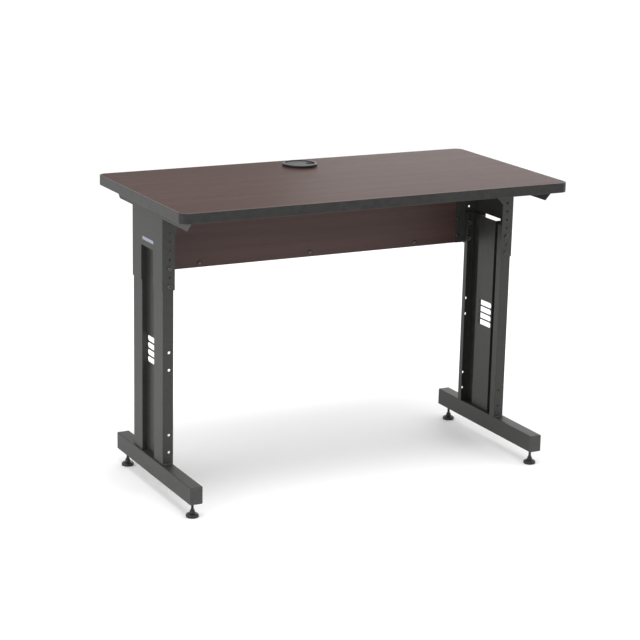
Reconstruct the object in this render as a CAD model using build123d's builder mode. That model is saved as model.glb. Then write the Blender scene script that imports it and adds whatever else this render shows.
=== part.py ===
from build123d import *
import os

# Teacher's desk with a laminate top on two height-adjustable steel legs.
# Millimetres. The origin is on the floor under the middle of the desktop, +X to the right of the
# person sitting at the desk, +Y towards the modesty panel at the back, +Z up.

# ---- driving dimensions ----------------------------------------------------------------------
desk_width = 1219.2
desk_depth = 609.6
desk_height = 864.0
top_thickness = 28.6
corner_radius = 25.0
leg_x = 551.0  # middle of a leg, measured across from the middle of the desk
leg_y = 28.0  # middle of a leg, measured towards the back
inch = 25.4

# desktop
laminate_thickness = 1.2
backer_thickness = 0.8
band_thickness = 3.0
band_round = 1.2
barb_depth = 8.0
barb_thickness = 1.6

# cable grommet
grommet_y = 218.0
grommet_bore = 47.5
ring_radius = 52.5
ring_height = 7.5  # above the desktop
ring_round = 3.0
ring_play = 0.1
liner_bore = 45.0
liner_depth = 22.0
liner_play = 0.2
ledge_radius = 41.0
cap_radius = 44.6
cap_thickness = 3.0
cap_round = 1.0
notch_width = 20.0
notch_reach = 20.0  # distance from the cap's middle to the bottom of the notch
notch_angle = -10.0

# formed sheet legs
sheet = 2.0
leg_gap = 0.5  # between sleeve and column
bend = 0.9
sleeve_bend = 2.0
sleeve_reach = 3.0  # how far the sleeve stands past the column on the inner side
column_depth = 32.0  # across, in X
column_width = 212.0  # front to back, in Y
column_top = 697.4
recess_width = 86.0
recess_depth = 16.0
narrow_lip = 18.0
wide_lip = 26.0
sleeve_bottom = 600.5
sleeve_slot_top = 702.7
hole_radius = 4.0  # in the columns
sleeve_hole_radius = 3.4
hole_setback = 3.0  # of the hole rows, from the middle of a leg
bolt_z = 663.4  # upper height bolt
bolt_pitch = 2 * inch
pair_step = 9.5 * inch  # from one pair of column holes to the next
sleeve_holes = range(-2, 6)  # inches above the upper height bolt

# vents in the column's web
vent_width = 71.0
vent_height = 16.4
vent_pitch = 20.6
vent_radius = 7.0  # of the corners at one end; the other end is square
vent_top = 438.1
vent_count = 4
vent_offset = -6.0  # from the middle of the right column

# support rails: steel angle with the vertical leg outside
rail_size = 31.75
rail_thickness = 2.0
rail_front = -279.0
rail_back = 262.0

# gusset at the top of the sleeve's front flange
gusset_drop = 73.0
gusset_reach = 40.0
tab_depth = 24.0

# foot bars
bar_width = 38.1
bar_height = 50.8
bar_bottom = 43.7
bar_front = -282.0
bar_back = 250.0
bar_wall = 2.0
bar_round = 3.0
cap_plate = 2.5
cap_plug = 14.0
plug_play = 0.6

# levelling glides
glide_front = -256.0
glide_back = 216.0
stem_radius = 4.0
stem_bottom = 5.0
stem_top = 68.0
thread_gap = 0.3
insert_radius = 7.0
insert_flange = 9.5
insert_height = 18.0
stem_chamfer = 0.8
pad_radius = 18.3
pad_edge = 1.0
pad_rim = 5.0  # top of the pad's upright rim
pad_dome = 10.5  # top of the dome, where the neck starts
dome_radius = 9.3
neck_foot_radius = 6.0
neck_foot = 16.0
neck_radius = 5.5
pad_height = 24.0

# modesty panel and what holds it
panel_thickness = 16.0
panel_half = 534.0
panel_bottom = 602.0
strip = 1.0
bracket_thickness = 3.0
bracket_inner = 505.0
bracket_outer = 539.0
bracket_screw_x = 511.0
bracket_screw_z = (626.0, 679.0)
panel_screw_x = (-360.0, 0.0, 360.0)
panel_screw_z = 615.0
stiffener_height = 30.0
stiffener_flange = 20.0

# fasteners
screw_radius = 2.1
screw_head = 4.6
screw_head_height = 2.6
screw_head_round = 1.2
screw_length = 18.0
screw_gap = 0.05
board_screw_head = 6.2
board_screw_head_height = 3.0
board_screw_head_round = 1.4
bolt_radius = 3.1
bolt_flange = 7.4
bolt_flange_height = 1.2
bolt_head = 5.8
bolt_head_height = 4.2
shank_play = 0.1
nut_flats = 12.0
nut_height = 5.0

# ---- levels and places that follow from them ---------------------------------------------------
underside = desk_height - top_thickness
core_bottom = underside + backer_thickness
core_top = desk_height - laminate_thickness
column_outer = leg_x + column_depth / 2
column_inner = leg_x - column_depth / 2
column_front = leg_y - column_width / 2
column_back = leg_y + column_width / 2
sleeve_outer = column_outer + leg_gap + sheet
sleeve_inner = column_inner - sleeve_reach
sleeve_front = column_front - leg_gap - sheet
sleeve_back = column_back + leg_gap + sheet
sleeve_middle = (sleeve_outer + sleeve_inner) / 2
recess_front = leg_y - recess_width / 2
recess_back = leg_y + recess_width / 2
rail_bottom = underside - rail_size
rail_inner = sleeve_outer - rail_size
gusset_inner = rail_inner - gusset_reach
gusset_rise = sleeve_inner - gusset_inner  # of its edge at 45 degrees
tab_width = gusset_reach - leg_gap
tab_x = rail_inner - leg_gap - tab_width / 2
tab_y = sleeve_front + sheet + tab_depth / 2
bar_top = bar_bottom + bar_height
plug_width = bar_width - 2 * bar_wall - plug_play
plug_height = bar_height - 2 * bar_wall - plug_play
bar_x = column_inner + bar_width / 2  # bar and column are flush on the inner side
hole_x = leg_x - hole_setback
panel_front = sleeve_back + bracket_thickness
panel_back = panel_front + panel_thickness
rail_screw_y = (-235.0, -125.0, 180.0, 235.0)
rail_screw_x = sleeve_outer - rail_size / 2
tab_screw_x = rail_inner - gusset_reach / 2
sides = ((-1, "left"), (1, "right"))

os.makedirs("parts", exist_ok=True)


def save(builder, name):
    """Label a finished piece and write it as parts/NAME.step."""
    builder.part.label = name
    export_step(builder.part, "parts/" + name + ".step")


def rounded_sheet(inset, bottom, top):
    """The desktop's outline, drawn in by inset, between two heights."""
    with BuildPart() as slab:
        with BuildSketch(Plane.XY.offset(bottom)):
            RectangleRounded(desk_width - 2 * inset, desk_depth - 2 * inset, corner_radius - inset)
        extrude(amount=top - bottom)
    return slab.part


# ---- desktop -----------------------------------------------------------------------------------
groove_low = desk_height - top_thickness / 2 - barb_thickness / 2
groove_high = groove_low + barb_thickness
screw_places = []
for side, name in sides:
    for y in rail_screw_y:
        screw_places.append((side * rail_screw_x, y))
    screw_places.append((side * tab_screw_x, tab_y))

with BuildPart() as desktop_core:
    add(rounded_sheet(band_thickness, core_bottom, core_top))
    groove_inner = rounded_sheet(band_thickness + barb_depth, groove_low, groove_high)
    add(rounded_sheet(band_thickness, groove_low, groove_high) - groove_inner, mode=Mode.SUBTRACT)
    with BuildSketch(Plane.XY.offset(core_bottom)):
        with Locations((0, grommet_y)):
            Circle(grommet_bore)
    extrude(amount=core_top - core_bottom, mode=Mode.SUBTRACT)
    with BuildSketch(Plane.XY.offset(core_bottom)):
        with Locations(*screw_places):
            Circle(screw_radius + screw_gap)
    extrude(amount=screw_length, mode=Mode.SUBTRACT)
save(desktop_core, "desktop_core")

with BuildPart() as desktop_laminate:
    add(rounded_sheet(band_thickness, core_top, desk_height))
    with BuildSketch(Plane.XY.offset(core_top)):
        with Locations((0, grommet_y)):
            Circle(ring_radius + ring_play)
    extrude(amount=laminate_thickness, mode=Mode.SUBTRACT)
save(desktop_laminate, "desktop_laminate")

with BuildPart() as desktop_backer:
    add(rounded_sheet(band_thickness, underside, core_bottom))
    with BuildSketch(Plane.XY.offset(underside)):
        with Locations((0, grommet_y)):
            Circle(grommet_bore)
        with Locations(*screw_places):
            Circle(screw_radius + screw_gap)
    extrude(amount=backer_thickness, mode=Mode.SUBTRACT)
save(desktop_backer, "desktop_backer")

# T-shaped band: a flat face round the rim and a barb pressed into the core's groove
with BuildPart() as edge_band:
    with BuildSketch(Plane.XY.offset(underside)):
        RectangleRounded(desk_width, desk_depth, corner_radius)
    extrude(amount=top_thickness)
    fillet(edge_band.edges().group_by(Axis.Z)[0] + edge_band.edges().group_by(Axis.Z)[-1], band_round)
    add(rounded_sheet(band_thickness, underside, desk_height), mode=Mode.SUBTRACT)
    add(rounded_sheet(band_thickness, groove_low, groove_high) - groove_inner)
save(edge_band, "edge_band")

# ---- cable grommet: the ring sits in the laminate's cut-out, on the core -------------------------
with BuildPart() as grommet_liner:
    with BuildSketch(Plane.XY.offset(core_top)):
        with Locations((0, grommet_y)):
            Circle(ring_radius)
    extrude(amount=laminate_thickness + ring_height)
    fillet(grommet_liner.edges().group_by(Axis.Z)[-1], ring_round)
    with BuildSketch(Plane.XY.offset(desk_height - liner_depth)):
        with Locations((0, grommet_y)):
            Circle(grommet_bore - liner_play)
    extrude(amount=liner_depth)
    with BuildSketch(Plane.XY.offset(desk_height - liner_depth)):
        with Locations((0, grommet_y)):
            Circle(liner_bore)
    extrude(amount=liner_depth + ring_height, mode=Mode.SUBTRACT)
    with BuildSketch(Plane.XY.offset(desk_height)):
        with Locations((0, grommet_y)):
            Circle(liner_bore)
            Circle(ledge_radius, mode=Mode.SUBTRACT)
    extrude(amount=sheet)
save(grommet_liner, "grommet_liner")

cap_bottom = desk_height + sheet + thread_gap
with BuildPart() as grommet_cap:
    with BuildSketch(Plane.XY.offset(cap_bottom)):
        with Locations((0, grommet_y)):
            Circle(cap_radius)
    extrude(amount=cap_thickness)
    fillet(grommet_cap.edges().group_by(Axis.Z)[-1], cap_round)
    notch_plane = Plane(origin=(0, grommet_y, cap_bottom)).rotated((0, 0, notch_angle))
    with BuildSketch(notch_plane) as notch:
        with Locations((cap_radius, 0)):
            Rectangle(2 * (cap_radius - notch_reach), notch_width)
        fillet(notch.vertices(), notch_width / 4)
    extrude(amount=cap_thickness, mode=Mode.SUBTRACT)
save(grommet_cap, "grommet_cap")

# ---- support rails and what stands under the top, both sides -------------------------------------
outward = Plane(origin=(0, 0, 0), x_dir=(0, 1, 0), z_dir=(1, 0, 0))
for side, name in sides:
    # steel angle: the vertical leg's ends are cut at 45 degrees
    with BuildPart() as support_rail:
        with BuildSketch(outward.offset(side * sleeve_outer)):
            with BuildLine():
                Polyline(
                    (rail_front, underside),
                    (rail_front + rail_size, rail_bottom),
                    (rail_back - rail_size, rail_bottom),
                    (rail_back, underside),
                    close=True,
                )
            make_face()
        extrude(amount=-side * rail_thickness)
        with BuildSketch(Plane.XY.offset(underside)):
            with Locations((side * rail_screw_x, (rail_front + rail_back) / 2)):
                Rectangle(rail_size, rail_back - rail_front)
        extrude(amount=-rail_thickness)
        with BuildSketch(Plane.XY.offset(underside)):
            with Locations(*[(side * rail_screw_x, y) for y in rail_screw_y]):
                Circle(screw_radius + screw_gap)
        extrude(amount=-rail_thickness, mode=Mode.SUBTRACT)
    save(support_rail, name + "_support_rail")

    # pan head wood screws, driven up into the core
    with BuildPart() as rail_screws:
        with BuildSketch(Plane.XY.offset(underside - rail_thickness)):
            with Locations(*[(side * rail_screw_x, y) for y in rail_screw_y]):
                Circle(screw_head)
        extrude(amount=-screw_head_height)
        fillet(rail_screws.edges().group_by(Axis.Z)[0], screw_head_round)
        with BuildSketch(Plane.XY.offset(underside - rail_thickness)):
            with Locations(*[(side * rail_screw_x, y) for y in rail_screw_y]):
                Circle(screw_radius)
        extrude(amount=screw_length)
    save(rail_screws, name + "_rail_screws")

    # sleeve: a channel open to the inside and, over the column's recess, at the bottom
    with BuildPart() as sleeve:
        with BuildSketch(Plane.XY.offset(sleeve_bottom)):
            with Locations((side * sleeve_middle, leg_y)):
                Rectangle(sleeve_outer - sleeve_inner, sleeve_back - sleeve_front)
        extrude(amount=underside - rail_thickness - sleeve_bottom)
        outer_edges = sleeve.edges().filter_by(Axis.Z).sort_by(Axis.X, reverse=side < 0)[-2:]
        fillet(outer_edges, sleeve_bend)
        with BuildSketch(Plane.XY.offset(sleeve_bottom)):
            with Locations((side * (sleeve_middle - sheet), leg_y)):
                Rectangle(sleeve_outer - sleeve_inner, sleeve_back - sleeve_front - 2 * sheet)
        extrude(amount=underside - sleeve_bottom, mode=Mode.SUBTRACT)
        with BuildSketch(Plane.XY.offset(rail_bottom)):
            with Locations((side * sleeve_outer, leg_y)):
                Rectangle(2 * rail_thickness, column_width * 2)
        extrude(amount=rail_size, mode=Mode.SUBTRACT)
        with BuildSketch(Plane.XY.offset(sleeve_bottom)):
            with Locations((side * sleeve_outer, leg_y)):
                Rectangle(4 * sheet, recess_width)
        extrude(amount=sleeve_slot_top - sleeve_bottom, mode=Mode.SUBTRACT)
        front_plane = Plane(origin=(0, sleeve_front, 0), x_dir=(1, 0, 0), z_dir=(0, -1, 0))
        with BuildSketch(front_plane):
            with BuildLine():
                Polyline(
                    (side * sleeve_inner, underside - gusset_drop),
                    (side * gusset_inner, underside - gusset_drop + gusset_rise),
                    (side * gusset_inner, underside),
                    (side * (rail_inner - leg_gap), underside),
                    (side * (rail_inner - leg_gap), underside - rail_thickness),
                    (side * (sleeve_inner + sheet), underside - rail_thickness),
                    (side * (sleeve_inner + sheet), underside - gusset_drop),
                    close=True,
                )
            make_face()
        extrude(amount=-sheet)
        with BuildSketch(Plane.XY.offset(underside)):
            with Locations((side * tab_x, tab_y)):
                Rectangle(tab_width, tab_depth)
            with Locations((side * tab_screw_x, tab_y)):
                Circle(screw_radius + screw_gap, mode=Mode.SUBTRACT)
        extrude(amount=-sheet)
        with BuildSketch(front_plane):
            with Locations(*[(side * hole_x, bolt_z + inch * n) for n in sleeve_holes]):
                Circle(sleeve_hole_radius)
        extrude(amount=-(sleeve_back - sleeve_front), mode=Mode.SUBTRACT)
    save(sleeve, name + "_sleeve")

    # one more wood screw through the tab of the gusset
    with BuildPart() as tab_screw:
        with BuildSketch(Plane.XY.offset(underside - sheet)):
            with Locations((side * tab_screw_x, tab_y)):
                Circle(screw_head)
        extrude(amount=-screw_head_height)
        fillet(tab_screw.edges().group_by(Axis.Z)[0], screw_head_round)
        with BuildSketch(Plane.XY.offset(underside - sheet)):
            with Locations((side * tab_screw_x, tab_y)):
                Circle(screw_radius)
        extrude(amount=screw_length)
    save(tab_screw, name + "_tab_screw")

    # height bolts: heads outside the flanges, shanks cut off short of the sliding column
    with BuildPart() as height_bolts:
        for face_y, out in ((sleeve_front, -1), (sleeve_back, 1)):
            head_plane = Plane(origin=(0, face_y, 0), x_dir=(-out, 0, 0), z_dir=(0, out, 0))
            # on the back face the plane's own X runs the other way
            places = [(-out * side * hole_x, bolt_z - n * bolt_pitch) for n in (0, 1)]
            with BuildSketch(head_plane):
                with Locations(*places):
                    Circle(bolt_flange)
            extrude(amount=bolt_flange_height)
            with BuildSketch(head_plane):
                with Locations(*places):
                    Circle(bolt_head)
            extrude(amount=bolt_head_height)
            with BuildSketch(head_plane):
                with Locations(*places):
                    Circle(bolt_radius)
            extrude(amount=-(sheet - shank_play))
    save(height_bolts, name + "_height_bolts")

# ---- modesty panel -------------------------------------------------------------------------------
panel_plane = Plane(origin=(0, panel_front, 0), x_dir=(1, 0, 0), z_dir=(0, -1, 0))
rear_plane = Plane(origin=(0, panel_back, 0), x_dir=(1, 0, 0), z_dir=(0, -1, 0))
bracket_plane = Plane(origin=(0, sleeve_back, 0), x_dir=(1, 0, 0), z_dir=(0, -1, 0))
board_places = [(x, panel_screw_z) for x in panel_screw_x]
bracket_places = [(side * bracket_screw_x, z) for side, name in sides for z in bracket_screw_z]

with BuildPart() as modesty_panel:
    with BuildSketch(panel_plane):
        with Locations((0, (underside + panel_bottom + strip) / 2)):
            Rectangle(2 * (panel_half - strip), underside - panel_bottom - strip)
    extrude(amount=-panel_thickness)
    with BuildSketch(panel_plane):
        with Locations(*board_places):
            Circle(screw_radius + screw_gap)
    extrude(amount=-panel_thickness, mode=Mode.SUBTRACT)
    with BuildSketch(panel_plane):
        with Locations(*bracket_places):
            Circle(screw_radius + screw_gap)
    extrude(amount=-(screw_length - bracket_thickness), mode=Mode.SUBTRACT)
save(modesty_panel, "modesty_panel")

# thin edging on the panel's bottom and ends
with BuildPart() as panel_edging:
    with BuildSketch(panel_plane):
        with Locations((0, (underside + panel_bottom) / 2)):
            Rectangle(2 * panel_half, underside - panel_bottom)
        with Locations((0, (underside + panel_bottom + strip) / 2)):
            Rectangle(2 * (panel_half - strip), underside - panel_bottom - strip, mode=Mode.SUBTRACT)
    extrude(amount=-panel_thickness)
save(panel_edging, "panel_edging")

# steel angle behind the panel's lower edge
with BuildPart() as panel_stiffener:
    with BuildSketch(rear_plane):
        with Locations((0, panel_bottom + stiffener_height / 2)):
            Rectangle(2 * bracket_inner, stiffener_height)
        with Locations(*board_places):
            Circle(screw_radius + screw_gap, mode=Mode.SUBTRACT)
    extrude(amount=-sheet)
    with BuildSketch(Plane.XY.offset(panel_bottom)):
        with Locations((0, panel_back + stiffener_flange / 2)):
            Rectangle(2 * bracket_inner, stiffener_flange)
    extrude(amount=sheet)
save(panel_stiffener, "panel_stiffener")

with BuildPart() as panel_screws:
    with BuildSketch(panel_plane):
        with Locations(*board_places):
            Circle(board_screw_head)
    extrude(amount=board_screw_head_height)
    fillet(panel_screws.edges().group_by(Axis.Y)[0], board_screw_head_round)
    with BuildSketch(panel_plane):
        with Locations(*board_places):
            Circle(screw_radius)
    extrude(amount=-(panel_thickness + 3 * sheet))
save(panel_screws, "panel_screws")

for side, name in sides:
    bracket_width = bracket_outer - bracket_inner
    with BuildPart() as panel_bracket:
        with BuildSketch(panel_plane):
            with Locations((side * (bracket_inner + bracket_width / 2),
                            (underside - rail_thickness + panel_bottom) / 2)):
                Rectangle(bracket_width, underside - rail_thickness - panel_bottom)
            with Locations(*[(side * bracket_screw_x, z) for z in bracket_screw_z]):
                Circle(screw_radius + screw_gap, mode=Mode.SUBTRACT)
        extrude(amount=bracket_thickness)
    save(panel_bracket, name + "_panel_bracket")

    with BuildPart() as bracket_screws:
        with BuildSketch(bracket_plane):
            with Locations(*[(side * bracket_screw_x, z) for z in bracket_screw_z]):
                Circle(screw_head)
        extrude(amount=screw_head_height)
        fillet(bracket_screws.edges().group_by(Axis.Y)[0], screw_head_round)
        with BuildSketch(bracket_plane):
            with Locations(*[(side * bracket_screw_x, z) for z in bracket_screw_z]):
                Circle(screw_radius)
        extrude(amount=-screw_length)
    save(bracket_screws, name + "_bracket_screws")

# ---- columns: one pressing, turned half round for the other side ---------------------------------
column_face = Plane(origin=(0, column_front, 0), x_dir=(1, 0, 0), z_dir=(0, -1, 0))
column_rear = Plane(origin=(0, column_back, 0), x_dir=(1, 0, 0), z_dir=(0, -1, 0))
web_outer = column_outer - recess_depth
low_pairs = [bolt_z - 2 * pair_step - n * bolt_pitch for n in (0, 1)]
middle_pairs = [bolt_z - pair_step - n * bolt_pitch for n in (0, 1)]
top_pairs = [bolt_z - n * bolt_pitch for n in (0, 1)]
vent_y = leg_y + vent_offset

with BuildPart() as right_column:
    with BuildSketch(Plane.XY.offset(bar_top)) as profile:
        with BuildLine():
            Polyline(
                (column_inner, column_front + wide_lip),
                (column_inner, column_front),
                (column_outer, column_front),
                (column_outer, recess_front),
                (web_outer, recess_front),
                (web_outer, recess_back),
                (column_outer, recess_back),
                (column_outer, column_back),
                (column_inner, column_back),
                (column_inner, column_back - narrow_lip),
                (column_inner + sheet, column_back - narrow_lip),
                (column_inner + sheet, column_back - sheet),
                (column_outer - sheet, column_back - sheet),
                (column_outer - sheet, recess_back + sheet),
                (web_outer - sheet, recess_back + sheet),
                (web_outer - sheet, recess_front - sheet),
                (column_outer - sheet, recess_front - sheet),
                (column_outer - sheet, column_front + sheet),
                (column_inner + sheet, column_front + sheet),
                (column_inner + sheet, column_front + wide_lip),
                close=True,
            )
        make_face()
        fillet(profile.vertices(), bend)
    extrude(amount=column_top - bar_top)
    with BuildSketch(column_face):
        with Locations(*[(hole_x, z) for z in top_pairs + low_pairs]):
            Circle(hole_radius)
    extrude(amount=-2 * sheet, mode=Mode.SUBTRACT)
    with BuildSketch(column_rear):
        with Locations(*[(hole_x, z) for z in top_pairs + middle_pairs + low_pairs]):
            Circle(hole_radius)
    extrude(amount=2 * sheet, mode=Mode.SUBTRACT)
    with BuildSketch(outward.offset(web_outer)) as vents:
        for n in range(vent_count):
            with Locations((vent_y, vent_top - vent_height / 2 - n * vent_pitch)):
                Rectangle(vent_width, vent_height)
        fillet(vents.vertices().group_by(Axis.X)[0], vent_radius)
    extrude(amount=-2 * sheet, mode=Mode.SUBTRACT)
save(right_column, "right_column")

with BuildPart() as left_column:
    add(right_column.part.rotate(Axis((0, leg_y, 0), (0, 0, 1)), 180))
save(left_column, "left_column")

# ---- weld nuts, foot bars, end caps and inserts ---------------------------------------------------
for side, name in sides:
    with BuildPart() as height_nuts:
        for nut_y, inward in ((column_front + sheet, 1), (column_back - sheet, -1)):
            nut_plane = Plane(origin=(0, nut_y, 0), x_dir=(-inward, 0, 0), z_dir=(0, inward, 0))
            places = [(-inward * side * hole_x, z) for z in top_pairs]
            with BuildSketch(nut_plane):
                with Locations(*places):
                    RegularPolygon(nut_flats / 2, 6, major_radius=False)
                    Circle(bolt_radius + thread_gap, mode=Mode.SUBTRACT)
            extrude(amount=nut_height)
    save(height_nuts, name + "_height_nuts")

    glide_places = [(side * bar_x, y) for y in (glide_front, glide_back)]
    tube_plane = Plane(origin=(0, bar_front + cap_plate, 0), x_dir=(1, 0, 0), z_dir=(0, -1, 0))
    tube_length = bar_back - bar_front - 2 * cap_plate
    bar_axis = (side * bar_x, bar_bottom + bar_height / 2)

    with BuildPart() as foot_bar:
        with BuildSketch(tube_plane):
            with Locations(bar_axis):
                RectangleRounded(bar_width, bar_height, bar_round)
                RectangleRounded(bar_width - 2 * bar_wall, bar_height - 2 * bar_wall,
                                 bar_round - bar_wall, mode=Mode.SUBTRACT)
        extrude(amount=-tube_length)
        with BuildSketch(Plane.XY.offset(bar_bottom)):
            with Locations(*glide_places):
                Circle(insert_radius + screw_gap)
        extrude(amount=bar_wall, mode=Mode.SUBTRACT)
    save(foot_bar, name + "_foot_bar")

    for end_y, out, end_name in ((bar_front, -1, "front"), (bar_back, 1, "rear")):
        end_plane = Plane(origin=(0, end_y, 0), x_dir=(-out, 0, 0), z_dir=(0, out, 0))
        end_axis = (-out * bar_axis[0], bar_axis[1])
        with BuildPart() as end_cap:
            with BuildSketch(end_plane):
                with Locations(end_axis):
                    RectangleRounded(bar_width, bar_height, bar_round)
            extrude(amount=-cap_plate)
            with BuildSketch(end_plane.offset(-cap_plate)):
                with Locations(end_axis):
                    Rectangle(plug_width, plug_height)
            extrude(amount=-cap_plug)
        save(end_cap, name + "_" + end_name + "_end_cap")

    # flanged threaded inserts in the bar's bottom wall
    with BuildPart() as glide_inserts:
        with BuildSketch(Plane.XY.offset(bar_bottom)):
            with Locations(*glide_places):
                Circle(insert_radius)
        extrude(amount=insert_height)
        with BuildSketch(Plane.XY.offset(bar_bottom - sheet)):
            with Locations(*glide_places):
                Circle(insert_flange)
        extrude(amount=sheet)
        with BuildSketch(Plane.XY.offset(bar_bottom - sheet)):
            with Locations(*glide_places):
                Circle(stem_radius + thread_gap)
        extrude(amount=sheet + insert_height, mode=Mode.SUBTRACT)
    save(glide_inserts, name + "_glide_inserts")

    # glides: a threaded stem standing in a domed pad
    for glide_y, end_name in ((glide_front, "front"), (glide_back, "rear")):
        upright = Plane(origin=(side * bar_x, glide_y, 0), x_dir=(1, 0, 0), z_dir=(0, -1, 0))
        axis = Axis((side * bar_x, glide_y, 0), (0, 0, 1))
        with BuildPart() as glide_stem:
            with BuildSketch(Plane.XY.offset(stem_bottom)):
                with Locations((side * bar_x, glide_y)):
                    Circle(stem_radius)
            extrude(amount=stem_top - stem_bottom)
            chamfer(glide_stem.edges().group_by(Axis.Z)[-1], stem_chamfer)
        save(glide_stem, name + "_" + end_name + "_glide_stem")

        with BuildPart() as glide_pad:
            with BuildSketch(upright):
                with BuildLine():
                    Polyline(
                        (0, 0),
                        (pad_radius - pad_edge, 0),
                        (pad_radius, pad_edge),
                        (pad_radius, pad_rim),
                    )
                    TangentArc((pad_radius, pad_rim), (dome_radius, pad_dome), tangent=(0, 1))
                    Polyline(
                        (dome_radius, pad_dome),
                        (neck_foot_radius, neck_foot),
                        (neck_radius, pad_height),
                        (0, pad_height),
                        (0, 0),
                    )
                make_face()
            revolve(axis=axis)
            with BuildSketch(Plane.XY.offset(stem_bottom)):
                with Locations((side * bar_x, glide_y)):
                    Circle(stem_radius)
            extrude(amount=pad_height - stem_bottom, mode=Mode.SUBTRACT)
        save(glide_pad, name + "_" + end_name + "_glide_pad")
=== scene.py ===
import math

import bmesh
import bpy
from mathutils import Matrix, Vector


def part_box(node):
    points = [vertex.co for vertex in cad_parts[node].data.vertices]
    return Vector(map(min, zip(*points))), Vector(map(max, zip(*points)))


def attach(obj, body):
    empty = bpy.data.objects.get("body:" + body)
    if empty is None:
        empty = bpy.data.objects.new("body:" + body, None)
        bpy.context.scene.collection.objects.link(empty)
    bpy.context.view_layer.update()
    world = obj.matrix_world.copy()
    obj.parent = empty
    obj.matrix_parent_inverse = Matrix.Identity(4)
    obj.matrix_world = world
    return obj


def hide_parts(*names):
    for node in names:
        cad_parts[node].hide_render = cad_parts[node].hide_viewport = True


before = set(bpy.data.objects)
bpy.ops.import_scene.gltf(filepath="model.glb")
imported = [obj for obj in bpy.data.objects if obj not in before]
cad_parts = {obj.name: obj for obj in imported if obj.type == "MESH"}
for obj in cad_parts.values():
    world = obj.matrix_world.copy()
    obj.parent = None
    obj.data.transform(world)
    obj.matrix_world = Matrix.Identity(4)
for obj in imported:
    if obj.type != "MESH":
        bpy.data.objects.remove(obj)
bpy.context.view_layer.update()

# Teacher's desk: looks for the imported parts, drawn fasteners and welds, floor, light and camera.
# Metres, in the CAD model's frame: floor at z = 0, +X to the sitter's right, +Y towards the modesty panel.

MM = 0.001
SIDES = ("left", "right")
ENDS = ("front", "rear")


# ---- shader helpers -----------------------------------------------------------------------------
class Shader:
    """A material's node tree with short calls for the few nodes that these materials use."""

    def __init__(self, name, roughness=0.5, metallic=0.0, specular=0.5):
        self.material = bpy.data.materials.new(name)
        self.material.use_nodes = True
        self.tree = self.material.node_tree
        self.bsdf = self.tree.nodes["Principled BSDF"]
        self.bsdf.inputs["Roughness"].default_value = roughness
        self.bsdf.inputs["Metallic"].default_value = metallic
        self.bsdf.inputs["Specular IOR Level"].default_value = specular
        self.coords = self.tree.nodes.new("ShaderNodeTexCoord")

    def node(self, kind, **settings):
        made = self.tree.nodes.new(kind)
        for key, value in settings.items():
            setattr(made, key, value)
        return made

    def link(self, source, target):
        self.tree.links.new(source, target)

    def scaled(self, x, y, z):
        """Object coordinates times a scale for each axis, per metre."""
        mapping = self.node("ShaderNodeMapping")
        mapping.inputs["Scale"].default_value = (x, y, z)
        self.link(self.coords.outputs["Object"], mapping.inputs["Vector"])
        return mapping.outputs["Vector"]

    def noise(self, scale=1.0, detail=3.0, roughness=0.55, distortion=0.0, vector=None):
        noise = self.node("ShaderNodeTexNoise")
        noise.inputs["Scale"].default_value = scale
        noise.inputs["Detail"].default_value = detail
        noise.inputs["Roughness"].default_value = roughness
        noise.inputs["Distortion"].default_value = distortion
        self.link(vector or self.coords.outputs["Object"], noise.inputs["Vector"])
        return noise.outputs["Fac"]

    def ramp(self, fac, *stops):
        """Colour ramp; each stop is (position, (r, g, b)) in linear colour."""
        ramp = self.node("ShaderNodeValToRGB")
        elements = ramp.color_ramp.elements
        while len(elements) < len(stops):
            elements.new(0.5)
        for element, (position, colour) in zip(elements, stops):
            element.position = position
            element.color = (*colour, 1.0)
        self.link(fac, ramp.inputs["Fac"])
        return ramp.outputs["Color"]

    def span(self, fac, low, high, start=0.3, stop=0.7):
        """Maps start..stop of a grey value to low..high."""
        spread = self.node("ShaderNodeMapRange")
        spread.inputs["From Min"].default_value = start
        spread.inputs["From Max"].default_value = stop
        spread.inputs["To Min"].default_value = low
        spread.inputs["To Max"].default_value = high
        self.link(fac, spread.inputs["Value"])
        return spread.outputs["Result"]

    def multiply(self, first, second, amount=1.0):
        """Multiplies two colours; amount fades the second one in."""
        mix = self.node("ShaderNodeMix", data_type="RGBA", blend_type="MULTIPLY")
        factor, first_colour, second_colour = (mix.inputs[i] for i in (0, 6, 7))
        factor.default_value = amount
        self.link(first, first_colour)
        self.link(second, second_colour)
        return mix.outputs[2]

    def bump(self, height, strength, distance, under=None):
        bump = self.node("ShaderNodeBump")
        bump.inputs["Strength"].default_value = strength
        bump.inputs["Distance"].default_value = distance
        self.link(height, bump.inputs["Height"])
        if under is not None:
            self.link(under, bump.inputs["Normal"])
        return bump.outputs["Normal"]

    def worn_edges(self, radius):
        """Normals rounded over the edges, so that they catch the light."""
        bevel = self.node("ShaderNodeBevel", samples=4)
        bevel.inputs["Radius"].default_value = radius
        return bevel.outputs["Normal"]

    def finish(self, colour=None, roughness=None, normal=None):
        for value, name in ((colour, "Base Color"), (roughness, "Roughness"), (normal, "Normal")):
            if value is not None:
                self.link(value, self.bsdf.inputs[name])
        return self.material


def grey(value):
    """A colour without hue."""
    return (value, value, value)


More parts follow.
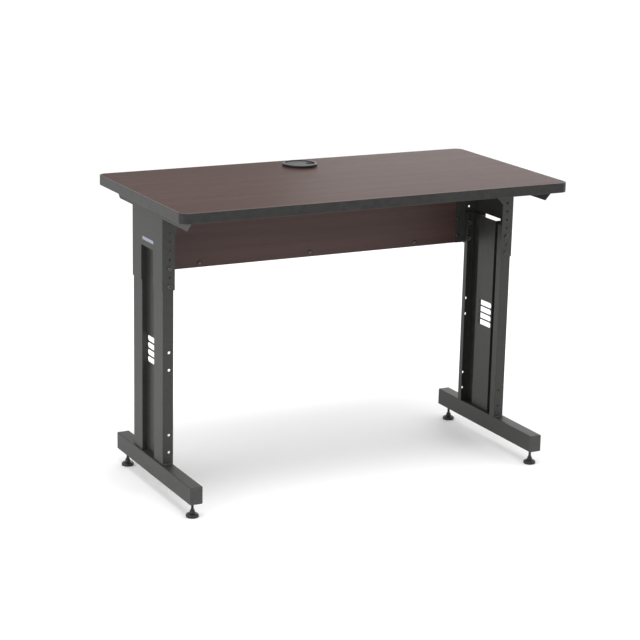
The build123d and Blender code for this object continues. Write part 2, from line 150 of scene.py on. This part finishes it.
# ---- materials ----------------------------------------------------------------------------------
def powder_coat(name, dark, light):
    """Fine orange-peel powder coat: speckled colour, soft gloss, a grain of about a millimetre."""
    s = Shader(name, specular=0.45)
    speckle = s.noise(scale=620.0, detail=2.0)
    cloud = s.noise(scale=5.0, detail=2.0)
    colour = s.ramp(speckle, (0.32, dark), (0.72, light))
    shade = s.ramp(cloud, (0.3, grey(0.88)), (0.7, grey(1.08)))
    fleck = s.ramp(s.noise(scale=230.0, detail=2.0), (0.38, grey(0.82)), (0.66, (1.2, 1.2, 1.19)))
    colour = s.multiply(s.multiply(colour, shade), fleck)
    orange_peel = s.noise(scale=420.0, detail=2.0)
    peel = s.bump(orange_peel, strength=0.35, distance=0.4 * MM, under=s.worn_edges(0.9 * MM))
    grain = s.bump(speckle, strength=0.25, distance=0.2 * MM, under=peel)
    return s.finish(colour, s.span(speckle, low=0.42, high=0.58), grain)


def wood_laminate(name, dark, middle, light, rough, specular):
    """Printed mahogany laminate: long streaks, a wandering figure and fine pores, along X."""
    s = Shader(name, specular=specular)
    streaks = s.noise(detail=6.0, roughness=0.62, vector=s.scaled(1.1, 42.0, 42.0))
    figure = s.noise(detail=3.0, distortion=1.2, vector=s.scaled(0.9, 9.0, 9.0))
    pores = s.noise(detail=2.0, roughness=0.7, vector=s.scaled(26.0, 620.0, 620.0))
    colour = s.ramp(streaks, (0.30, dark), (0.52, middle), (0.74, light))
    tint = s.ramp(figure, (0.32, (0.92, 0.91, 0.90)), (0.68, (1.07, 1.06, 1.06)))
    colour = s.multiply(colour, tint)
    pore_shade = s.ramp(pores, (0.36, (0.80, 0.78, 0.78)), (0.50, grey(1.0)))
    colour = s.multiply(colour, pore_shade, amount=0.7)
    relief = s.bump(pores, strength=0.12, distance=0.2 * MM)
    return s.finish(colour, s.span(pores, *rough), relief)


def moulded_plastic(name, dark, light, roughness, grain=900.0, specular=0.45):
    """Moulded plastic with a fine spark-eroded grain and slight scuffs."""
    s = Shader(name, specular=specular)
    texture = s.noise(scale=grain, detail=2.0)
    scuff = s.noise(detail=4.0, roughness=0.7, vector=s.scaled(30.0, 30.0, 160.0))
    colour = s.ramp(scuff, (0.35, dark), (0.72, light))
    relief = s.bump(texture, strength=0.22, distance=0.2 * MM)
    return s.finish(colour, s.span(scuff, low=roughness - 0.06, high=roughness + 0.08), relief)


def vinyl_band(name):
    """Black extruded vinyl: faint lines along the band and a satin skin."""
    s = Shader(name, specular=0.32)
    lines = s.noise(detail=3.0, vector=s.scaled(4.0, 4.0, 700.0))
    mottled = s.noise(scale=60.0, detail=4.0)
    colour = s.ramp(mottled, (0.30, (0.011, 0.011, 0.0105)), (0.72, (0.020, 0.020, 0.019)))
    relief = s.bump(lines, strength=0.10, distance=0.2 * MM)
    skin = s.bump(s.noise(scale=1100.0, detail=1.0), strength=0.12, distance=0.1 * MM, under=relief)
    return s.finish(colour, s.span(mottled, low=0.30, high=0.42), skin)


def steel(name, dark, light, rough):
    """Plated or blackened steel with turning marks and small changes of tone."""
    s = Shader(name, metallic=1.0)
    marks = s.noise(detail=4.0, vector=s.scaled(240.0, 240.0, 1600.0))
    cloud = s.noise(scale=90.0, detail=3.0)
    colour = s.ramp(cloud, (0.3, dark), (0.7, light))
    relief = s.bump(marks, strength=0.15, distance=0.1 * MM)
    return s.finish(colour, s.span(marks, *rough), relief)


def particle_board(name):
    """Raw chipboard: flat chips of several tones."""
    s = Shader(name, roughness=0.85, specular=0.2)
    chips = s.node("ShaderNodeTexVoronoi", feature="F1")
    chips.inputs["Scale"].default_value = 1.0
    s.link(s.scaled(330.0, 330.0, 900.0), chips.inputs["Vector"])
    dust = s.noise(scale=800.0, detail=3.0)
    tone = s.ramp(chips.outputs["Color"], (0.15, (0.30, 0.19, 0.10)), (0.55, (0.50, 0.35, 0.19)),
                  (0.9, (0.66, 0.50, 0.31)))
    dusty = s.ramp(dust, (0.35, grey(0.8)), (0.65, grey(1.1)))
    relief = s.bump(dust, strength=0.5, distance=0.5 * MM)
    return s.finish(s.multiply(tone, dusty), normal=relief)


def paper_label(name):
    """Blank foil label: brushed, pale grey."""
    s = Shader(name, roughness=0.4, specular=0.6)
    brushed = s.noise(detail=3.0, vector=s.scaled(900.0, 40.0, 900.0))
    colour = s.ramp(brushed, (0.3, (0.20, 0.23, 0.29)), (0.7, (0.27, 0.30, 0.36)))
    relief = s.bump(brushed, strength=0.1, distance=0.1 * MM)
    return s.finish(colour, s.span(brushed, low=0.34, high=0.48), relief)


def floor_paint(name):
    """Seamless white floor with the faintest unevenness."""
    s = Shader(name, roughness=0.7, specular=0.2)
    cloud = s.noise(scale=0.7, detail=2.0)
    return s.finish(s.ramp(cloud, (0.3, grey(0.965)), (0.7, grey(0.975))))


STEEL_COAT = powder_coat("charcoal_powder_coat", dark=(0.014, 0.014, 0.013), light=(0.034, 0.034, 0.032))
# lighter base than the powder coat: a painted highlight on the weld bead; the lower roughness is the
# glossier coat over the weld
WELD_COAT_HIGHLIGHT = moulded_plastic("coated_weld_highlight", dark=(0.035, 0.035, 0.033), light=(0.055, 0.055, 0.052),
                            roughness=0.26, grain=500.0)
TOP_WOOD = wood_laminate("mahogany_laminate", dark=(0.042, 0.0205, 0.0165),
                         middle=(0.050, 0.0250, 0.0205), light=(0.059, 0.030, 0.0250),
                         rough=(0.36, 0.44), specular=0.025)
PANEL_WOOD = wood_laminate("mahogany_panel", dark=(0.049, 0.0240, 0.0200),
                           middle=(0.056, 0.028, 0.024), light=(0.064, 0.0325, 0.0275),
                           rough=(0.46, 0.56), specular=0.35)
BACKER = moulded_plastic("backer_sheet", dark=(0.050, 0.045, 0.043), light=(0.075, 0.068, 0.065),
                         roughness=0.6)
BOARD = particle_board("raw_particle_board")
VINYL = vinyl_band("black_vinyl")
RING_PLASTIC = moulded_plastic("grommet_black", dark=(0.006, 0.006, 0.006),
                               light=(0.012, 0.012, 0.012), roughness=0.36, specular=0.25)
CAP_PLASTIC = moulded_plastic("grommet_grey", dark=(0.044, 0.044, 0.044),
                              light=(0.064, 0.064, 0.063), roughness=0.42, specular=0.04)
BLACK_PLASTIC = moulded_plastic("glide_black", dark=(0.010, 0.010, 0.010),
                                light=(0.020, 0.020, 0.019), roughness=0.34)
END_PLASTIC = moulded_plastic("end_cap_black", dark=(0.026, 0.026, 0.025),
                              light=(0.044, 0.044, 0.042), roughness=0.46)
BLACK_STEEL = steel("black_oxide", dark=(0.060, 0.060, 0.057), light=(0.115, 0.115, 0.11),
                    rough=(0.20, 0.32))
ZINC = steel("zinc_plate", dark=(0.42, 0.42, 0.40), light=(0.60, 0.60, 0.57), rough=(0.25, 0.42))
LABEL = paper_label("blank_label")
# pale tan strip: the laminate's cut edge, coloured lighter than it is as a painted highlight along the top
# of the band
SEAM_HIGHLIGHT = moulded_plastic("laminate_edge_highlight", dark=(0.10, 0.088, 0.072), light=(0.17, 0.155, 0.13),
                       roughness=0.4, specular=0.3)


def dress(material, *nodes):
    """Gives CAD nodes their material."""
    for name in nodes:
        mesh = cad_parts[name].data
        mesh.materials.clear()
        mesh.materials.append(material)


dress(BOARD, "desktop_core")
dress(TOP_WOOD, "desktop_laminate")
dress(PANEL_WOOD, "modesty_panel")
dress(BACKER, "desktop_backer")
dress(VINYL, "edge_band", "panel_edging")
dress(RING_PLASTIC, "grommet_liner")
dress(CAP_PLASTIC, "grommet_cap")
dress(STEEL_COAT, "panel_stiffener")
for side in SIDES:
    dress(STEEL_COAT, *[f"{side}_{piece}" for piece in
                        ("support_rail", "sleeve", "panel_bracket", "column", "foot_bar")])
    dress(ZINC, f"{side}_height_nuts", f"{side}_glide_inserts")
    for end in ENDS:
        dress(END_PLASTIC, f"{side}_{end}_end_cap")
        dress(BLACK_PLASTIC, f"{side}_{end}_glide_pad")


# ---- mesh helpers -------------------------------------------------------------------------------
SHARP_FROM = math.radians(35)  # edges with a sharper turn than this aren't smoothed
SAME_POINT = 1e-6  # points nearer than this are one point


def piece_from(mesh_builder, name, material, body):
    """Makes an object from a bmesh, smooth but sharp at real edges, and rides it on a body."""
    mesh = bpy.data.meshes.new(name)
    bmesh.ops.recalc_face_normals(mesh_builder, faces=mesh_builder.faces)
    mesh_builder.to_mesh(mesh)
    mesh_builder.free()
    for face in mesh.polygons:
        face.use_smooth = True
    mesh.set_sharp_from_angle(angle=SHARP_FROM)
    piece = bpy.data.objects.new(name, mesh)
    bpy.context.scene.collection.objects.link(piece)
    mesh.materials.append(material)
    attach(piece, body)
    return piece


def islands(node):
    """The box of each separate solid in a CAD node."""
    builder = bmesh.new()
    builder.from_mesh(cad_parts[node].data)
    bmesh.ops.remove_doubles(builder, verts=builder.verts, dist=SAME_POINT)
    left = set(builder.verts)
    boxes = []
    while left:
        stack = [left.pop()]
        points = []
        while stack:
            vert = stack.pop()
            points.append(vert.co.copy())
            for edge in vert.link_edges:
                other = edge.other_vert(vert)
                if other in left:
                    left.remove(other)
                    stack.append(other)
        low = Vector([min(p[i] for p in points) for i in range(3)])
        high = Vector([max(p[i] for p in points) for i in range(3)])
        boxes.append((low, high))
    builder.free()
    decimals = 4  # to a tenth of a millimetre
    boxes.sort(key=lambda box: tuple(round(value, decimals) for value in box[0]))
    return boxes


def centre_of(box):
    """Middle of a box given by its lowest and highest corners."""
    return (box[0] + box[1]) / 2


def circle(radius):
    """The same radius at every angle."""
    return lambda angle: radius


def hexagon(flat):
    """Radius of a hexagon with that distance from the middle to each flat."""
    return lambda angle: flat / math.cos((angle % (math.pi / 3)) - math.pi / 6)


def cross(reach, half_width):
    """Radius of a plus-shaped recess."""
    tiny = 1e-6  # keeps the divisions safe on the axes

    def radius(angle):
        a = max(abs(math.cos(angle)), tiny)
        b = max(abs(math.sin(angle)), tiny)
        return max(min(reach / a, half_width / b), min(half_width / a, reach / b))
    return radius


def skin(builder, loops):
    """Joins each loop of points to the next with a strip of quads."""
    for first, second in zip(loops, loops[1:]):
        for i in range(len(first)):
            j = (i + 1) % len(first)
            builder.faces.new((first[i], first[j], second[j], second[i]))


def rounded_outline(half_x, half_y, corner, turn_step, inset=0.0):
    """Points round a rectangle with round corners, turn_step degrees apart, drawn in by inset."""
    points = []
    for quarter, (sign_x, sign_y) in enumerate(((1, 1), (-1, 1), (-1, -1), (1, -1))):
        for turn in range(0, 91, turn_step):
            angle = math.radians(90 * quarter + turn)
            points.append((sign_x * (half_x - corner) + (corner - inset) * math.cos(angle),
                           sign_y * (half_y - corner) + (corner - inset) * math.sin(angle)))
    return points


def stack_rings(builder, rings, place, segments):
    """Skins a stack of rings, each (height, radius function), closed at both ends."""
    loops = []
    for height, radius in rings:
        loop = []
        for i in range(segments):
            angle = 2 * math.pi * i / segments
            r = radius(angle)
            point = Vector((r * math.cos(angle), r * math.sin(angle), height))
            loop.append(builder.verts.new(place @ point))
        loops.append(loop)
    skin(builder, loops)
    for loop, height in ((loops[0], rings[0][0]), (loops[-1], rings[-1][0])):
        middle = builder.verts.new(place @ Vector((0, 0, height)))
        for i in range(segments):
            builder.faces.new((loop[i], loop[(i + 1) % segments], middle))


def facing(place, axis):
    """A frame at place whose own Z points along axis."""
    return Matrix.Translation(place) @ Vector(axis).to_track_quat("Z", "Y").to_matrix().to_4x4()


def domed_head(builder, place, radius, height, recess, flange, shank, length):
    """A screw: shank below, domed head above, a recess in the head, and perhaps a flange under it."""
    tip = 0.55  # share of the shank's radius at its end
    wall, crown = 0.12, 0.5  # shares of the head: height of its upright wall, radius of its flat top
    inner = 0.78  # share of the flange's radius that the head takes
    recess_depth = height * 0.6
    dome_steps, segments = 7, 48
    rings = [(-length, circle(shank * tip)), (-length + shank, circle(shank)), (0, circle(shank))]
    foot = 0
    if flange:
        # a rim that bulges a little, and a flat top up to the head
        rings += [(0, circle(radius * 0.98)), (flange * 0.4, circle(radius)),
                  (flange, circle(radius * 0.96)), (flange, circle(radius * 0.80))]
        radius *= inner
        foot = flange
    rise = height - foot
    rings += [(foot, circle(radius * 0.97)), (foot + rise * wall, circle(radius))]
    for i in range(1, dome_steps + 1):
        turn = math.pi / 2 * i / dome_steps
        rings.append((foot + rise * (wall + (1 - wall) * math.sin(turn)),
                      circle(radius * (crown + (1 - crown) * math.cos(turn)))))
    rings += [(height, recess(radius)), (height - recess_depth, recess(radius)),
              (height - recess_depth * 1.05, circle(radius * 0.1))]
    stack_rings(builder, rings, place, segments)


# ---- fasteners drawn in detail ------------------------------------------------------------------
BOLT_HEAD, BOLT_FLANGE, BOLT_SHANK = 4.2 * MM, 1.2 * MM, 3.1 * MM
SCREW_HEAD, BOARD_SCREW_HEAD, SCREW_SHANK = 2.6 * MM, 3.0 * MM, 2.1 * MM


def head_radius(box, along):
    """Half the widest size across the axis numbered along."""
    size = box[1] - box[0]
    return max(size[i] for i in range(3) if i != along) / 2


def replace_fasteners(node, axis_of, head, shank, recess, material, flange=0):
    """Draws each fastener of a CAD node again; axis_of gives the way out of its head."""
    builder = bmesh.new()
    for box in islands(node):
        axis = Vector(axis_of(box))
        along = max(range(3), key=lambda i: abs(axis[i]))
        place = centre_of(box)
        top = box[1][along] if axis[along] > 0 else box[0][along]
        place[along] = top - axis[along] * head
        length = box[1][along] - box[0][along] - head
        domed_head(builder, facing(place, axis), head_radius(box, along), head, recess, flange,
                   shank, length)
    piece = piece_from(builder, node + "_drawn", material, "upper_desk")
    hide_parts(node)


def socket(radius):
    """Hexagon socket."""
    return hexagon(radius * 0.42)


def phillips(radius):
    """Cross recess."""
    return cross(radius * 0.52, radius * 0.16)


leg_middle_y = centre_of(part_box("left_sleeve")).y
for side in SIDES:
    replace_fasteners(f"{side}_height_bolts",
                      lambda box: (0, math.copysign(1, centre_of(box).y - leg_middle_y), 0),
                      BOLT_HEAD, BOLT_SHANK, socket, BLACK_STEEL, BOLT_FLANGE)
    replace_fasteners(f"{side}_bracket_screws", lambda box: (0, -1, 0),
                      SCREW_HEAD, SCREW_SHANK, phillips, BLACK_STEEL)
    for screws in ("rail_screws", "tab_screw"):
        replace_fasteners(f"{side}_{screws}", lambda box: (0, 0, -1),
                          SCREW_HEAD, SCREW_SHANK, phillips, ZINC)
replace_fasteners("panel_screws", lambda box: (0, -1, 0),
                  BOARD_SCREW_HEAD, SCREW_SHANK, phillips, BLACK_STEEL)


# ---- threaded glide stems -----------------------------------------------------------------------
def threaded_stem(node, body):
    """A true helical thread on the stem, with plain ends."""
    pitch, depth = 1.25 * MM, 0.5 * MM
    run_in, run_out = 3 * pitch, 2 * pitch
    rows_per_turn, segments = 6, 20
    low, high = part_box(node)
    radius = (high.x - low.x) / 2
    middle = centre_of((low, high))
    length = high.z - low.z
    rows = int(length / pitch * rows_per_turn)
    rings = []
    for row in range(rows + 1):
        height = length * row / rows
        fade = min(1.0, height / run_in, (length - height) / run_out)

        def thread(angle, height=height, fade=fade):
            phase = (height / pitch - angle / (2 * math.pi)) % 1.0
            return radius - depth * fade * abs(2 * phase - 1)

        rings.append((height, thread))
    builder = bmesh.new()
    stack_rings(builder, rings, Matrix.Translation((middle.x, middle.y, low.z)), segments)
    piece = piece_from(builder, node + "_threaded", BLACK_STEEL, body)
    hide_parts(node)


for side in SIDES:
    for end in ENDS:
        threaded_stem(f"{side}_{end}_glide_stem", f"{side}_{end}_glide")


# ---- glide pads ---------------------------------------------------------------------------------
def turned_pad(node, body):
    """A rim with a groove, a dome and a necked collar round the stem."""
    low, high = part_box(node)
    middle = centre_of((low, high))
    radius = (high.x - low.x) / 2
    # outline from the floor up: height in millimetres, share of the radius
    rim = ((0, 0.93), (0.9, 0.99), (3.0, 1.0), (3.4, 0.965), (4.4, 0.965), (4.8, 1.0))
    dome = ((6.4, 0.985), (8.2, 0.93), (9.8, 0.80), (10.8, 0.62), (11.4, 0.54), (12.6, 0.49))
    collar = ((17.2, 0.36), (17.6, 0.38), (19.4, 0.38), (19.8, 0.35), (20.2, 0.26))
    rings = [(height * MM, circle(radius * share)) for height, share in rim + dome + collar]
    rings.append((high.z, circle(radius * 0.25)))
    segments = 64
    builder = bmesh.new()
    stack_rings(builder, rings, Matrix.Translation((middle.x, middle.y, 0)), segments)
    piece = piece_from(builder, node + "_turned", BLACK_PLASTIC, body)
    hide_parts(node)


for side in SIDES:
    for end in ENDS:
        turned_pad(f"{side}_{end}_glide_pad", f"{side}_{end}_glide")


# ---- the laminate's cut edge against the band: a pale strip, partly a painted highlight line ----
def laminate_seam_highlight():
    """A narrow strip, a little raised, all round the laminate; lighter than the laminate, partly its cut
    edge and partly a painted highlight.
    """
    _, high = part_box("desktop_laminate")
    corner, width, lift, root = 22 * MM, 0.7 * MM, 0.12 * MM, -0.3 * MM
    section = ((-0.1 * MM, root), (0, lift), (width * 0.6, lift), (width, root))
    builder = bmesh.new()
    loops = []
    for inset, height in section:
        outline = rounded_outline(high.x, high.y, corner, turn_step=9, inset=inset)
        loops.append([builder.verts.new((x, y, high.z + height)) for x, y in outline])
    skin(builder, loops + loops[:1])
    piece_from(builder, "laminate_seam_highlight", SEAM_HIGHLIGHT, "upper_desk")


laminate_seam_highlight()


# ---- weld beads where the column stands on its foot bar -----------------------------------------
def weld_bead(builder, start, end, radius):
    """A rippled fillet bead: overlapping round drops along a line."""
    drop_step = radius * 0.7
    rows_per_drop, segments = 4, 14
    valley, end_share = 0.86, 0.35  # shares of the radius between two drops and at the ends
    direction = end - start
    length = direction.length
    rows = int(length / drop_step) * rows_per_drop
    rings = []
    for i in range(rows + 1):
        along = length * i / rows
        ripple = valley + (1 - valley) * abs(math.sin(math.pi * along / drop_step))
        taper = min(1.0, end_share + along / radius, end_share + (length - along) / radius)
        rings.append((along, circle(radius * ripple * taper)))
    stack_rings(builder, rings, facing(start, direction), segments)


for side in SIDES:
    low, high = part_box(f"{side}_column")
    bead, inset = 2.8 * MM, 3 * MM
    builder = bmesh.new()
    for y in (low.y, high.y):
        weld_bead(builder, Vector((low.x + inset, y, low.z)), Vector((high.x - inset, y, low.z)), bead)
    piece_from(builder, f"{side}_foot_weld", WELD_COAT_HIGHLIGHT, f"{side}_leg")


# ---- blank label on the left sleeve -------------------------------------------------------------
def label_plate():
    """A thin blank plate with round corners, stuck on the outside of the left sleeve."""
    length, height, thickness, corner = 78 * MM, 9 * MM, 0.4 * MM, 1.5 * MM
    forward, above_foot = 6 * MM, 124 * MM
    low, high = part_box("left_sleeve")
    middle = Vector((low.x, centre_of((low, high)).y - forward, low.z + above_foot))
    points = rounded_outline(length / 2, height / 2, corner, turn_step=15)
    outline = [Vector((0, y, z)) for y, z in points]
    builder = bmesh.new()
    back = [builder.verts.new(middle + point) for point in outline]
    front = [builder.verts.new(middle + point + Vector((-thickness, 0, 0))) for point in outline]
    builder.faces.new(back)
    builder.faces.new(front)
    skin(builder, [back, front])
    piece_from(builder, "blank_label", LABEL, "upper_desk")


label_plate()


# ---- floor, light and camera --------------------------------------------------------------------
def white_floor(half):
    """A square floor, half its side each way from the desk."""
    builder = bmesh.new()
    builder.faces.new([builder.verts.new((x * half, y * half, 0)) for x, y in
                       ((-1, -1), (1, -1), (1, 1), (-1, 1))])
    mesh = bpy.data.meshes.new("studio_floor")
    builder.to_mesh(mesh)
    builder.free()
    mesh.materials.append(floor_paint("studio_white"))
    floor = bpy.data.objects.new("studio_floor", mesh)
    bpy.context.scene.collection.objects.link(floor)


def soft_light(name, place, target, width, height, power):
    """A rectangular lamp at place, turned towards target; the camera doesn't see it."""
    data = bpy.data.lights.new(name, "AREA")
    data.shape = "RECTANGLE"
    data.size = width
    data.size_y = height
    data.energy = power
    lamp = bpy.data.objects.new(name, data)
    lamp.location = place
    lamp.rotation_euler = (Vector(target) - Vector(place)).to_track_quat("-Z", "Y").to_euler()
    lamp.visible_camera = False
    bpy.context.scene.collection.objects.link(lamp)


def white_world(strength):
    """Even white light from all sides."""
    world = bpy.data.worlds.new("studio_world")
    world.use_nodes = True
    background = world.node_tree.nodes["Background"]
    background.inputs["Color"].default_value = (1.0, 1.0, 1.0, 1.0)
    background.inputs["Strength"].default_value = strength
    bpy.context.scene.world = world


def studio_camera(azimuth, elevation, roll, distance, aim, lens, sensor=36):
    """Camera looking at aim from azimuth (0 looks along +Y) and elevation, in degrees."""
    a, e = math.radians(azimuth), math.radians(elevation)
    back = Vector((math.sin(a) * math.cos(e), -math.cos(a) * math.cos(e), math.sin(e)))
    right = Vector((math.cos(a), math.sin(a), 0))
    up = back.cross(right)
    turned = Matrix.Rotation(math.radians(roll), 3, back)
    right = turned @ right
    up = turned @ up
    data = bpy.data.cameras.new("studio_camera")
    data.lens = lens
    data.sensor_width = sensor
    camera = bpy.data.objects.new("studio_camera", data)
    basis = Matrix((right, up, back)).transposed().to_4x4()
    camera.matrix_world = Matrix.Translation(Vector(aim) + back * distance) @ basis
    bpy.context.scene.collection.objects.link(camera)
    bpy.context.scene.camera = camera


white_floor(half=30.0)
white_world(strength=1.04)
soft_light("key_from_left", place=(-4.2, -0.8, 1.9), target=(0, 0, 0.5), width=2.6, height=2.2, power=30)
soft_light("overhead", place=(-0.2, -0.7, 3.4), target=(0, 0.1, 0), width=2.4, height=1.2, power=60)
soft_light("sheen_from_behind", place=(2.15, 2.7, 1.4), target=(0.4, 0.1, 0.86),
           width=1.6, height=0.8, power=8)
studio_camera(azimuth=-27.79, elevation=14.97, roll=1.29, distance=5.55,
              aim=(-0.108, -0.139, 0.486), lens=109.6)
bpy.context.scene.view_settings.view_transform = "Standard"
